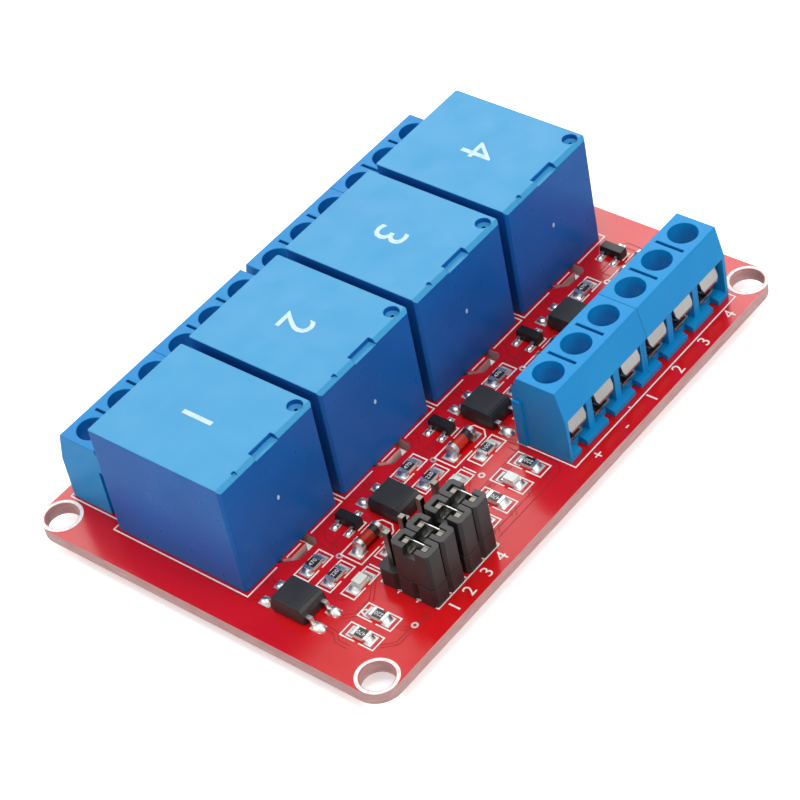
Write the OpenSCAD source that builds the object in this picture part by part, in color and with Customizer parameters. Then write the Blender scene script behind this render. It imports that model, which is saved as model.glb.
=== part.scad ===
// Relay module board with four relays, screw terminals and mode jumpers.
// Millimetres, +Z up. Origin: centre of the board in plan, at the tips of the
// soldered pins. +X runs along the long side, +Y towards the contact terminals.

/* [Board] */
// length of the board along X
board_l = 73; // [72:0.5:84]
// width of the board along Y
board_w = 50; // [49.5:0.5:60]
// thickness of the board
board_t = 1.6; // [1.2:0.1:2.4]
// radius of the board's corners
corner_r = 3; // [1:0.5:5]
// diameter of the mounting holes
hole_d = 3.9; // [3:0.1:4.2]
// centres of the mounting holes, in from the board's edges
hole_inset = 2.5; // [2.4:0.05:2.8]
// length of the soldered pins below the board
tail_len = 1.6; // [1:0.1:3]
// clearance around a pin in its drilled hole
drill_play = 0.12; // [0.05:0.01:0.2]
// gap between the board and what sits on it
seat = 0.02; // [0.01:0.01:0.1]

/* [Relays] */
// width of a relay along X
relay_w = 15.2; // [14.8:0.1:15.8]
// length of a relay along Y
relay_l = 18.8; // [18.4:0.1:19.4]
// height of a relay above the board
relay_h = 15.2; // [15:0.1:18]
// spacing of the relays along X
relay_pitch = 16.4; // [16:0.1:16.8]
// centre of the relays along Y
relay_y = 6.15; // [5.8:0.05:6.4]
// wall of the relay cover
relay_wall = 0.8; // [0.6:0.05:0.9]
// size of the broken edge along the top of the cover
rim_c = 0.45; // [0.2:0.05:0.7]
// width of the notch in the top edge of the cover
notch_w = 3.6; // [2:0.1:5]
// diameter of the vent dimple
vent_d = 1.8; // [1.2:0.1:2]
// thickness of the relay base
base_t = 1.8; // [1.4:0.1:2]
// height of the relay base above the board
base_lift = 0.3; // [0.1:0.05:0.5]
// gap between the relay base and the cover
base_fit = 0.05; // [0.03:0.01:0.15]
// thickness of the yoke
yoke_t = 1.1; // [0.9:0.05:1.3]
// width of the yoke
yoke_w = 9; // [7:0.2:10]
// height of the yoke above the relay base
yoke_rise = 9.1; // [8.8:0.1:9.1]
// radius of the iron core
core_r = 2; // [1.6:0.1:2.2]
// radius of the core's pole face
pole_r = 3; // [2.6:0.1:3.2]
// radius of the copper winding
winding_r = 4.9; // [4.2:0.1:5]
// thickness of the armature
armature_t = 1; // [0.8:0.05:1.1]
// width of the armature
armature_w = 8; // [6:0.2:9]
// swing of the armature in degrees
armature_swing = 3; // [2:0.1:3]
// thickness of the moving contact blade
blade_t = 0.25; // [0.2:0.05:0.3]
// width of the moving contact blade
blade_w = 3; // [2:0.2:4]
// radius of the contact buttons
button_r = 0.9; // [0.6:0.05:1]

/* [Screw terminals] */
// spacing of the poles
pole_pitch = 5.08; // [5:0.01:5.1]
// depth of a terminal block
term_d = 6.9; // [6.6:0.1:7.2]
// height of a terminal block
term_h = 9.9; // [9.6:0.1:11]
// wall at the ends of a terminal block
term_wall = 0.5; // [0.45:0.01:0.6]
// diameter of the screwdriver holes
bore_d = 3.5; // [3.4:0.1:3.8]
// height of the wire openings
entry_h = 5; // [4.8:0.02:5.08]
// thickness of the block's floor
floor_t = 0.9; // [0.8:0.02:0.98]
// height where the front panel starts to lean back
lip_z = 6; // [6:0.1:7.4]
// how far the front panel leans back
front_lean = 0.9; // [0.5:0.05:1.1]
// diameter of the screw heads
head_d = 3.2; // [3:0.05:3.3]
// diameter of the screw shanks
shank_d = 2.4; // [2:0.05:2.6]
// play of a shank in its threaded frame
thread_play = 0.05; // [0.03:0.01:0.1]
// thickness of the clamp frames
frame_t = 0.6; // [0.5:0.05:0.7]
// width of the wire guards in front of their frames
guard_front_w = 3.1; // [2.8:0.05:3.3]
// thickness of the wire guards
guard_t = 0.25; // [0.2:0.05:0.3]
// gap between the two pairs of output blocks
pair_gap = 1; // [0.8:0.1:1.2]
// gap between two blocks that hook together
block_gap = 0.04; // [0.02:0.01:0.08]
// gap between the relays and the output blocks
row_gap = 0.9; // [0.7:0.05:1.2]
// centre of the input blocks along Y
in_y = -18.65; // [-19:0.05:-18.4]
// left end of the input blocks along X
in_x = 0.35; // [0:0.05:0.5]

/* [Pin header and jumpers] */
// spacing of the header pins
pin_pitch = 2.54; // [2.5:0.01:2.6]
// side of the square header pins
pin_w = 0.64; // [0.5:0.02:0.7]
// height of the header's plastic base
header_h = 2.5; // [2:0.1:3]
// length of the pins above the plastic base
pin_rise = 4.8; // [4.4:0.1:4.8]
// play of a pin in its plastic base
pin_fit = 0.03; // [0.02:0.01:0.08]
// gap between the two header blocks
header_gap = 0.5; // [0.2:0.1:0.8]
// centre of the header along X
header_x = -18.4; // [-18.8:0.1:-18]
// centre of the header along Y
header_y = -18.54; // [-18.8:0.02:-18.4]
// width of a jumper cap
cap_w = 2.4; // [2.2:0.05:2.45]
// length of a jumper cap
cap_l = 5; // [4.8:0.05:5.1]
// height of a jumper cap
cap_h = 5; // [4.8:0.1:6]
// gap between a jumper cap and the header below it
cap_gap = 0.05; // [0.03:0.01:0.1]

/* [Surface parts] */
// length of the optocoupler body between its leads
opto_l = 4.4; // [4:0.1:4.6]
// width of the optocoupler body
opto_w = 3.8; // [3.4:0.1:4]
// height of the optocoupler body
opto_h = 2; // [1.8:0.1:2.4]
// length of a chip resistor
chip_l = 2; // [1.6:0.1:2.2]
// width of a chip resistor
chip_w = 1.25; // [0.8:0.05:1.4]
// height of a chip resistor
chip_h = 0.55; // [0.4:0.05:0.7]
// length of the diode with its end caps
diode_l = 3.5; // [3:0.1:3.8]
// diameter of the diode's glass
diode_d = 1.4; // [1.2:0.05:1.5]
// length of the transistor body
trans_l = 2.9; // [2.6:0.1:3.1]
// width of the transistor body
trans_w = 1.3; // [1.2:0.05:1.5]
// height of the transistor body
trans_h = 1; // [0.9:0.05:1.2]

/* [Hidden] */
top = tail_len + board_t;
channels = [0:3];
poles = [-1:1];
fine = 28;
small = 16;
eps = 0.01;

// relay stack, heights above the board's top face
cav_x = relay_w / 2 - relay_wall;
cav_y = relay_l / 2 - relay_wall;
base_top = base_lift + base_t;
foot_t = 0.3;
yoke_z = base_top + foot_t + 0.05;
yoke_top = base_top + yoke_rise;
leg_out = -cav_y + 0.7;
leg_in = leg_out + yoke_t;
core_y = -0.9;
pole_reach = core_y + pole_r - leg_in;
pole_top = yoke_top - pole_reach * sin(armature_swing) - 0.055;
head_t = 0.8;
flange_t = 0.8;
low_flange_z = yoke_z + yoke_t + 0.05;
high_flange_z = pole_top - head_t - 0.05 - flange_t;
tube_r = core_r + 0.7;
arm_z = yoke_top + 0.02;
arm_end = 3.6;
contact_y = 6.3;
blade_z = arm_z + armature_t;
button_low = blade_z - 0.2;
button_high = blade_z + blade_t + 0.4;
button_drop = (contact_y + button_r - leg_in) * sin(armature_swing);
open_z = button_low - button_drop - 0.08;
closed_z = button_high + 0.04;
finger_t = 0.4;
button_t = 0.4;

// pins under a relay, measured from its centre
com_y = -7.1;
coil_y = com_y + 2;
contact_pin_y = com_y + 14.2;
side_pin_x = 6;
coil_pin = 0.7;
post_w = 0.8;
post_t = 0.5;
com_w = 1;
com_t = 0.6;
pin_play = 0.05;

// slot milled round the common pin, in front of each relay
slot_shift = -0.17;
slot_outer = [[-2.45, 0.6], [-2.45, -9.45], [-0.8, -11.2], [2, -11.2], [2.45, -10.75], [2.45, 0.6]];

// terminal blocks
term_l = 2 * pole_pitch + pole_pitch - 2 * 0.5 * (pole_pitch - 5.04);
entry_w = pole_pitch - 2 * term_wall;
entry_z = floor_t + entry_h;
back_c = 0.9;
back_drop = 2.2;
bore_y = (front_lean - back_c) / 2;
rib_out = 0.3;
rib_w = 1.1;
rib_h = 6.5;
rib_back = 0.7;
foot_front = 0.7;
out_x = pair_gap / 2 + term_l / 2;
out_y = relay_y + relay_l / 2 + row_gap + term_d / 2;
frame_w = entry_w - 0.28;
frame_d = 4.1;
frame_z = floor_t + 0.1;
frame_h = 4;
frame_top = frame_z + frame_h;
head_z = frame_top + 0.5;
head_h = 1.4;
guard_w = frame_w - 2 * frame_t - 0.2;
guard_low = frame_z + frame_t + 1.3;
shank_z = guard_low + guard_t + 0.15;
tail_w = 0.9;

// header
header_dx = header_gap / 2;
cap_y = header_y - pin_pitch / 2;
cap_z = header_h + cap_gap;

// ---- places ----
function relay_x(i) = (i - 1.5) * relay_pitch;
function output_x(b) = (b < 2 ? -1 : 1) * (out_x + (b == 0 || b == 3 ? term_l + block_gap : 0));
function input_x(b) = in_x + term_l / 2 + b * (term_l + block_gap);
function pole_x(n) = n < 12
    ? output_x(floor(n / 3)) + (n % 3 - 1) * pole_pitch
    : input_x(floor((n - 12) / 3)) + (n % 3 - 1) * pole_pitch;
function pole_y(n) = n < 12 ? out_y - bore_y : in_y + bore_y;
function pin_x(c) = header_x + (c - 1.5) * pin_pitch + (c < 2 ? -header_dx : header_dx);
function pin_y(r) = header_y + (r - 1) * pin_pitch;

module at_relay(i) translate([relay_x(i), relay_y, top]) children();
module each_relay() for (i = channels) at_relay(i) children();
// a pole's own axes: the wire comes in from -Y
module at_pole(n) translate([pole_x(n), n < 12 ? out_y : in_y, top + seat])
    rotate([0, 0, n < 12 ? 180 : 0]) children();
module each_pole() for (n = [0:17]) at_pole(n) children();

module block(x0, x1, y0, y1, z0, z1) translate([x0, y0, z0]) cube([x1 - x0, y1 - y0, z1 - z0]);
module post(x, y, w, d, z0, z1) block(x - w / 2, x + w / 2, y - d / 2, y + d / 2, z0, z1);
// a section drawn in Y and Z, run along X
module run_x(w) rotate([90, 0, 90]) translate([0, 0, -w / 2]) linear_extrude(w) children();
// a section drawn in X and Z, run along Y
module run_y(w) rotate([90, 0, 0]) translate([0, 0, -w / 2]) linear_extrude(w) children();
module bevelled(w, d, c) polygon([[-w / 2 + c, -d / 2], [w / 2 - c, -d / 2],
    [w / 2, -d / 2 + c], [w / 2, d / 2 - c], [w / 2 - c, d / 2], [-w / 2 + c, d / 2],
    [-w / 2, d / 2 - c], [-w / 2, -d / 2 + c]]);

// ---- circuit board ----
module board_plan() {
    square([board_l - 2 * corner_r, board_w], center = true);
    square([board_l, board_w - 2 * corner_r], center = true);
    for (sx = [-1, 1], sy = [-1, 1])
        translate([sx * (board_l / 2 - corner_r), sy * (board_w / 2 - corner_r)])
            circle(r = corner_r, $fn = 48);
}

// drilled holes take a pin's diagonal and its clearance
function drill(w, d) = sqrt(w * w + d * d) / 2 + drill_play;

module slot_plan() translate([slot_shift, 0]) difference() {
    polygon([[-2.45, -6.2], [-2.45, -9.45], [-0.8, -11.2], [2, -11.2], [2.45, -10.75], [2.45, -6.2]]);
    polygon([[-1.7, 1], [-1.7, -9.55], [-1.1, -10.25], [1.4, -10.25], [1.4, 1]]);
}

module circuit_board() color("firebrick") difference() {
    translate([0, 0, tail_len]) linear_extrude(board_t) difference() {
        board_plan();
        for (sx = [-1, 1], sy = [-1, 1])
            translate([sx * (board_l / 2 - hole_inset), sy * (board_w / 2 - hole_inset)])
                circle(d = hole_d, $fn = 32);
        for (i = channels) translate([relay_x(i), relay_y]) {
            slot_plan();
            translate([0, com_y]) circle(r = drill(com_w, com_t), $fn = small);
            for (s = [-1, 1]) {
                translate([s * side_pin_x, coil_y]) circle(r = drill(coil_pin, coil_pin), $fn = small);
                translate([s * side_pin_x, contact_pin_y])
                    circle(r = drill(post_w, post_t), $fn = small);
            }
        }
        for (n = [0:17]) translate([pole_x(n), pole_y(n)])
            circle(r = drill(tail_w, frame_t), $fn = small);
        for (c = [0:3], r = [0:2]) translate([pin_x(c), pin_y(r)])
            circle(r = drill(pin_w, pin_w), $fn = small);
    }
}

// ---- relay: cover, base and the works inside ----
module relay_cover() color("royalblue") difference() {
    intersection() {
        translate([0, 0, seat]) linear_extrude(relay_h - seat) bevelled(relay_w, relay_l, 0.3);
        run_x(relay_w) polygon([[-relay_l / 2, seat], [relay_l / 2, seat],
            [relay_l / 2, relay_h - 0.15], [relay_l / 2 - 0.15, relay_h],
            [-relay_l / 2 + rim_c, relay_h], [-relay_l / 2, relay_h - rim_c]]);
    }
    block(-cav_x, cav_x, -cav_y, cav_y, -1, relay_h - relay_wall - 0.1);
    // notch and nick in the top edge, and vent dimple with its pinhole
    block(-4.85, -4.35, -relay_l / 2 - 1, -relay_l / 2 + rim_c + 0.25, relay_h - 0.3, relay_h + 1);
    block(-notch_w / 2 + 0.1, notch_w / 2 + 0.1, -relay_l / 2 - 1, -relay_l / 2 + 1,
        relay_h - 0.6, relay_h + 1);
    translate([relay_w / 2 - 1.3, -relay_l / 2 + 1.3, relay_h - 0.8 * relay_wall]) {
        cylinder(d = vent_d, h = 1, $fn = 24);
        translate([0, 0, -1]) cylinder(d = 0.4, h = 1.5, $fn = small);
    }
}
module relay_cover_1() at_relay(0) relay_cover();
module relay_cover_2() at_relay(1) relay_cover();
module relay_cover_3() at_relay(2) relay_cover();
module relay_cover_4() at_relay(3) relay_cover();

module relay_bases() color("midnightblue") each_relay() difference() {
    post(0, 0, 2 * (cav_x - base_fit), 2 * (cav_y - base_fit), base_lift, base_top);
    post(0, com_y, com_w + 2 * pin_play, com_t + 2 * pin_play, 0, 5);
    for (s = [-1, 1]) {
        post(s * side_pin_x, coil_y, coil_pin + 2 * pin_play, coil_pin + 2 * pin_play, 0, 5);
        post(s * side_pin_x, contact_pin_y, post_w + 2 * pin_play, post_t + 2 * pin_play, 0, 5);
    }
}

module relay_bobbins() color("ivory") each_relay() difference() {
    union() {
        block(-cav_x + 0.2, cav_x - 0.2, leg_in + 0.3, core_y + winding_r + 0.4,
            low_flange_z, low_flange_z + flange_t);
        block(-winding_r - 0.3, winding_r + 0.3, leg_in + 0.3, core_y + winding_r + 0.4,
            high_flange_z, high_flange_z + flange_t);
        translate([0, core_y, low_flange_z])
            cylinder(r = tube_r, h = high_flange_z - low_flange_z + flange_t / 2, $fn = fine);
    }
    translate([0, core_y, 0]) cylinder(r = core_r + 0.1, h = relay_h, $fn = fine);
    for (s = [-1, 1])
        post(s * side_pin_x, coil_y, coil_pin + 2 * pin_play, coil_pin + 2 * pin_play, 0, 6);
}

module relay_windings() color("peru") each_relay() translate([0, core_y, 0]) difference() {
    translate([0, 0, low_flange_z + flange_t + 0.05])
        cylinder(r = winding_r, h = high_flange_z - low_flange_z - flange_t - 0.1, $fn = fine);
    cylinder(r = tube_r + 0.05, h = relay_h, $fn = fine);
}

module relay_cores() color("silver") each_relay() translate([0, core_y, 0]) {
    translate([0, 0, yoke_z + 0.05])
        cylinder(r = core_r, h = pole_top - yoke_z - 0.05 - head_t / 2, $fn = fine);
    translate([0, 0, pole_top - head_t]) cylinder(r = pole_r, h = head_t, $fn = fine);
}

module relay_yokes() color("lightslategray") each_relay() difference() {
    run_x(yoke_w) polygon([[leg_out, yoke_z], [core_y + core_r + 1.2, yoke_z],
        [core_y + core_r + 1.2, yoke_z + yoke_t], [leg_in, yoke_z + yoke_t],
        [leg_in, yoke_top], [leg_out, yoke_top]]);
    translate([0, core_y, 0]) cylinder(r = core_r + 0.05, h = relay_h, $fn = fine);
}

// soldered pins and the fixed contacts they carry
module contact_post(s, z_finger, z_button) {
    x_in = side_pin_x - post_w / 2 - 1.2;
    post(s * side_pin_x, contact_pin_y, post_w, post_t, -top, base_top + 1);
    mirror([s > 0 ? 0 : 1, 0, 0]) {
        block(x_in, side_pin_x + post_w / 2, contact_pin_y - post_t / 2, contact_pin_y + post_t / 2,
            base_top + 0.05, z_finger + finger_t);
        block(-1.3, side_pin_x + post_w / 2, contact_y - button_r, contact_pin_y + post_t / 2,
            z_finger, z_finger + finger_t);
    }
    translate([0, contact_y, z_button]) cylinder(r = button_r, h = button_t, $fn = small);
}

module relay_pins() color("goldenrod") each_relay() {
    for (s = [-1, 1]) post(s * side_pin_x, coil_y, coil_pin, coil_pin, -top, low_flange_z + 0.6);
    post(0, com_y, com_w, com_t, -top, base_top + 0.2);
    block(-2, 2, leg_out - 0.4, com_y + 0.7, base_top + 0.02, base_top + 0.02 + foot_t);
    block(-2, 2, leg_out - 0.4, leg_out - 0.1, base_top + 0.02, yoke_top - 0.5);
    contact_post(1, open_z - button_t - finger_t, open_z - button_t);
    contact_post(-1, closed_z + button_t, closed_z);
}

module relay_armature() color("darkgray") {
    block(-armature_w / 2, armature_w / 2, leg_out, arm_end, arm_z, blade_z);
    block(-blade_w / 2, blade_w / 2, leg_in + 0.8, contact_y + button_r + 0.1,
        blade_z, blade_z + blade_t);
    translate([0, contact_y, button_low])
        cylinder(r = button_r, h = button_high - button_low, $fn = small);
}
module relay_armature_1() at_relay(0) relay_armature();
module relay_armature_2() at_relay(1) relay_armature();
module relay_armature_3() at_relay(2) relay_armature();
module relay_armature_4() at_relay(3) relay_armature();

// ---- screw terminal blocks ----
// outer = the end, -1 or 1, that no other block hooks on to
module terminal_block(outer) color("dodgerblue") difference() {
    union() {
        run_x(term_l) polygon([[-term_d / 2, 0], [term_d / 2, 0],
            [term_d / 2, term_h - back_drop], [term_d / 2 - back_c, term_h],
            [-term_d / 2 + front_lean, term_h], [-term_d / 2, lip_z]]);
        // hooking rib on one end
        block(-term_l / 2 - rib_out, -term_l / 2 + 0.1, term_d / 2 - rib_w, term_d / 2, 0, rib_h);
    }
    // matching groove in the other end
    block(term_l / 2 - rib_out - 0.05, term_l / 2 + 1, term_d / 2 - rib_w - 0.05, term_d / 2 + 1,
        -1, rib_h + 0.05);
    for (p = poles) translate([p * pole_pitch, 0, 0]) {
        translate([0, bore_y, entry_z - 1]) cylinder(d = bore_d, h = term_h, $fn = fine);
        post(0, -term_d / 2 + (term_d - 1) / 2 - 1, entry_w, term_d + 1, floor_t, entry_z);
        // gap between the wire ramps, and the way out for the soldered tail
        post(0, -term_d / 2, 1.15, 2.4, -1, entry_z);
        post(0, bore_y, tail_w + 0.2, frame_t + 0.2, -1, entry_z);
    }
    // ribs between the poles, and between two blocks, stand back behind the front panel
    x0 = outer < 0 ? -pole_pitch - entry_w / 2 : -term_l / 2 - 1;
    x1 = outer > 0 ? pole_pitch + entry_w / 2 : term_l / 2 + 1;
    block(x0, x1, -term_d / 2 - 1, -term_d / 2 + rib_back, floor_t, entry_z);
    // the wire ramps slope down to the front
    translate([(x0 + x1) / 2, 0, 0]) run_x(x1 - x0) polygon([[-term_d / 2 - 0.1, foot_front],
        [-term_d / 2, foot_front], [-term_d / 2 + rib_back, floor_t],
        [-term_d / 2 + rib_back, floor_t + 0.1], [-term_d / 2 - 0.1, floor_t + 0.1]]);
    for (s = [-1, 1])
        post(s * pole_pitch / 2, bore_y + 0.05, 0.4, 3.7, term_h - 1.2, term_h + 1);
}
module at_output(b) translate([output_x(b), out_y, top + seat]) rotate([0, 0, 180]) children();
module at_input(b) translate([input_x(b), in_y, top + seat]) children();
module output_terminal_1() at_output(0) terminal_block(1);
module output_terminal_2() at_output(1) terminal_block(-1);
module output_terminal_3() at_output(2) terminal_block(1);
module output_terminal_4() at_output(3) terminal_block(-1);
module input_terminal_1() at_input(0) terminal_block(-1);
module input_terminal_2() at_input(1) terminal_block(1);

module terminal_frames() color("lightgray") each_pole() difference() {
    union() {
        translate([0, bore_y, 0]) run_y(frame_d) translate([0, frame_z + frame_h / 2])
            difference() {
                bevelled(frame_w, frame_h, 0.5);
                bevelled(frame_w - 2 * frame_t, frame_h - 2 * frame_t, 0.25);
            }
        // lip that leads the wire in
        post(0, bore_y - frame_d / 2 - 0.1, frame_w - 1.2, 0.4, frame_z + 0.2, frame_z + frame_t);
        post(0, bore_y, tail_w, frame_t, -top - seat, frame_z + frame_t / 2);
    }
    translate([0, bore_y, frame_top - 2 * frame_t])
        cylinder(d = shank_d + 2 * thread_play, h = 3 * frame_t, $fn = 20);
}

// a folded leaf: over the frame, down across the wire opening, back under the screw
module wire_guards() color("gainsboro") each_pole() {
    y0 = bore_y - frame_d / 2;
    z1 = frame_top + 0.05;
    // front, with its lower corners cut
    intersection() {
        run_x(guard_front_w) polygon([[y0 + 0.35, z1], [y0 + 0.35, z1 + guard_t],
            [y0 - 0.35, z1 + guard_t], [y0 - 0.6, z1 - 0.1], [y0 - 1.05, guard_low + 0.6],
            [y0 - 1.03, guard_low + 0.3], [y0 - 0.75, guard_low], [y0 - 0.4, guard_low],
            [y0 - 0.4, guard_low + guard_t], [y0 - 0.65, guard_low + guard_t],
            [y0 - 0.8, guard_low + 0.4], [y0 - 0.8, guard_low + 0.6], [y0 - 0.35, z1 - 0.15],
            [y0 - 0.2, z1]]);
        run_y(8) polygon([[-guard_front_w / 2 + 0.4, 0], [guard_front_w / 2 - 0.4, 0],
            [guard_front_w / 2 - 0.4, guard_low + 0.2], [guard_front_w / 2, guard_low + 1],
            [guard_front_w / 2, term_h], [-guard_front_w / 2, term_h],
            [-guard_front_w / 2, guard_low + 1], [-guard_front_w / 2 + 0.4, guard_low + 0.2]]);
    }
    // tongue under the screw
    block(-guard_w / 2, guard_w / 2, y0 - 0.45, bore_y + 1.4, guard_low, guard_low + guard_t);
}

module terminal_screw() color("whitesmoke") translate([0, bore_y, 0]) difference() {
    union() {
        translate([0, 0, shank_z]) cylinder(d = shank_d, h = head_z - shank_z + 0.2, $fn = 20);
        translate([0, 0, head_z]) cylinder(d = head_d, h = head_h - 0.2, $fn = fine);
        translate([0, 0, head_z + head_h - 0.2])
            cylinder(d1 = head_d, d2 = head_d - 0.4, h = 0.2, $fn = fine);
    }
    post(0, 0, head_d + 1, 0.5, head_z + head_h - 0.7, head_z + head_h + 1);
}
module terminal_screw_01() at_pole(0) terminal_screw();
module terminal_screw_02() at_pole(1) terminal_screw();
module terminal_screw_03() at_pole(2) terminal_screw();
module terminal_screw_04() at_pole(3) terminal_screw();
module terminal_screw_05() at_pole(4) terminal_screw();
module terminal_screw_06() at_pole(5) terminal_screw();
module terminal_screw_07() at_pole(6) terminal_screw();
module terminal_screw_08() at_pole(7) terminal_screw();
module terminal_screw_09() at_pole(8) terminal_screw();
module terminal_screw_10() at_pole(9) terminal_screw();
module terminal_screw_11() at_pole(10) terminal_screw();
module terminal_screw_12() at_pole(11) terminal_screw();
module terminal_screw_13() at_pole(12) terminal_screw();
module terminal_screw_14() at_pole(13) terminal_screw();
module terminal_screw_15() at_pole(14) terminal_screw();
module terminal_screw_16() at_pole(15) terminal_screw();
module terminal_screw_17() at_pole(16) terminal_screw();
module terminal_screw_18() at_pole(17) terminal_screw();

// ---- surface-mounted parts, placed from each relay's centre line ----
opto_at = [-6.15, -9.45];
trans_at = [5.95, -6.36];
diode_at = [4.85, -9.95];
led_at = [-0.3, -12.95];
chips_at = [[-0.9, -6.95], [-0.9, -10], [5.65, -12.8]];
// resistors and the power lamp that stand alone near the front edge
loose_chips = [[-30.6, -17.75], [-27.6, -17.7], [-11.1, -18.2], [-8.1, -18.2], [-2, -18.15]];
power_at = [-5, -18];

module each_channel(at) for (i = channels) translate([relay_x(i) + at.x, at.y, top + seat]) children();

module optocouplers() color([0.1, 0.1, 0.1]) each_channel(opto_at)
    run_x(opto_w) polygon([[-opto_l / 2 + 0.05, 0.1], [opto_l / 2 - 0.05, 0.1],
        [opto_l / 2, opto_h / 2 + 0.1], [opto_l / 2 - 0.1, opto_h + 0.1],
        [-opto_l / 2 + 0.95, opto_h + 0.1], [-opto_l / 2 + 0.1, opto_h - 0.3],
        [-opto_l / 2, opto_h / 2 + 0.1]]);

// a bent lead, from the body's side at y = from down to a foot at y = from + reach
module lead(w, from, reach, z, t) run_x(w) polygon([[from, z], [from + reach * 0.45, z],
    [from + reach * 0.6, t], [from + reach, t], [from + reach, 0], [from + reach * 0.6 - t, 0],
    [from + reach * 0.45 - t, z - t], [from, z - t]]);

module optocoupler_leads() color("silver") each_channel(opto_at)
    for (s = [-1, 1], a = [0, 180]) rotate([0, 0, a]) translate([s * pin_pitch / 2, 0, 0])
        lead(0.5, opto_l / 2 + 0.01, 1.4, opto_h / 2 + 0.1, 0.2);

module transistors() color([0.12, 0.12, 0.12]) each_channel(trans_at)
    run_y(trans_l) polygon([[-trans_w / 2, 0.1], [trans_w / 2, 0.1], [trans_w / 2, 0.65],
        [trans_w / 2 - 0.1, trans_h + 0.1], [-trans_w / 2 + 0.1, trans_h + 0.1],
        [-trans_w / 2, 0.65]]);

module transistor_leads() color("silver") each_channel(trans_at) {
    for (s = [-1, 1]) rotate([0, 0, 90]) translate([s * 0.95, 0, 0])
        lead(0.4, trans_w / 2 + 0.01, 0.6, 0.55, 0.12);
    rotate([0, 0, -90]) lead(0.4, trans_w / 2 + 0.01, 0.6, 0.55, 0.12);
}

module diodes() color("orangered") each_channel(diode_at) translate([0, 0, diode_d / 2 + 0.1])
    rotate([0, 90, 0]) cylinder(d = diode_d, h = diode_l - 1, center = true, $fn = 24);

module diode_caps() color("silver") each_channel(diode_at) translate([0, 0, diode_d / 2 + 0.1])
    for (s = [-1, 1]) translate([s * (diode_l / 2 - 0.25 + eps), 0, 0]) rotate([0, 90, 0])
        cylinder(d = diode_d + 0.15, h = 0.5, center = true, $fn = 24);

// ceramic body between two wrapped ends, long side along X
module chip() {
    post(0, 0, chip_l - 0.5, chip_w - 0.05, 0.02, chip_h - 0.03);
    for (s = [-1, 1]) post(s * (chip_l / 2 - 0.2), 0, 0.4, chip_w, 0, chip_h);
}
module chip_resistors() color([0.2, 0.2, 0.2]) {
    for (at = chips_at) each_channel(at) chip();
    for (at = loose_chips) translate([at.x, at.y, top + seat]) rotate([0, 0, 90]) chip();
}

module led() {
    post(0, 0, chip_l, chip_w, 0, 0.35);
    post(0, 0, chip_l - 0.6, chip_w - 0.1, 0.3, 0.8);
}
module leds() color("white") {
    each_channel(led_at) led();
    translate([power_at.x, power_at.y, top + seat]) rotate([0, 0, 90]) led();
}

// ---- pin headers and jumper caps ----
module pin_headers() color([0.13, 0.13, 0.13]) for (h = [0, 1]) difference() {
    translate([0, 0, top + seat]) linear_extrude(header_h) {
        for (c = [0, 1], r = [0:2]) translate([pin_x(2 * h + c), pin_y(r)])
            bevelled(pin_pitch, pin_pitch, 0.4);
        translate([(pin_x(2 * h) + pin_x(2 * h + 1)) / 2, header_y])
            square([1, 2 * pin_pitch + 1], center = true);
    }
    for (c = [0, 1], r = [0:2])
        post(pin_x(2 * h + c), pin_y(r), pin_w + 2 * pin_fit, pin_w + 2 * pin_fit, top - 1,
            top + header_h + 1);
}

module header_pins() color("gold") for (c = [0:3], r = [0:2])
    post(pin_x(c), pin_y(r), pin_w, pin_w, 0, top + header_h + pin_rise);

module at_jumper(c) translate([pin_x(c), cap_y, top + seat + cap_z]) children();

cap_roof = cap_h - 1.5;
cap_wall = 0.45;
cap_bevel = 0.35;
waist_half = 0.75;
slit_half = 0.55;
pin_off = pin_pitch / 2;
module jumper_cap() color([0.16, 0.16, 0.16]) difference() {
    linear_extrude(cap_h) bevelled(cap_w, cap_l, cap_bevel);
    // socket for the clip, open below
    post(0, 0, cap_w - 2 * cap_wall, cap_l - 2 * 0.35, -1, cap_roof);
    // waist across the top, and the slit that shows the clip and the pin tips
    post(0, 0, cap_w + 1, 2 * waist_half, cap_roof + 0.3, cap_h + 1);
    post(0, 0, 2 * slit_half, 2 * (pin_off + slit_half), cap_roof - 1, cap_h + 1);
}
module jumper_cap_1() at_jumper(0) jumper_cap();
module jumper_cap_2() at_jumper(1) jumper_cap();
module jumper_cap_3() at_jumper(2) jumper_cap();
module jumper_cap_4() at_jumper(3) jumper_cap();

// two spring sockets joined by an upright strip beside the pins
module jumper_clip() color("silver") difference() {
    union() {
        for (s = [-1, 1]) post(0, s * pin_off, 1.3, 1.3, 0.6, cap_roof - 0.05);
        block(pin_w / 2 + 0.06, slit_half - 0.05, -pin_off - 0.35, pin_off + 0.35,
            0.6, cap_h - 0.25);
    }
    for (s = [-1, 1]) post(0, s * pin_off, pin_w + 0.08, pin_w + 0.08, 0, cap_h);
}
module jumper_clip_1() at_jumper(0) jumper_clip();
module jumper_clip_2() at_jumper(1) jumper_clip();
module jumper_clip_3() at_jumper(2) jumper_clip();
module jumper_clip_4() at_jumper(3) jumper_clip();

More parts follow.
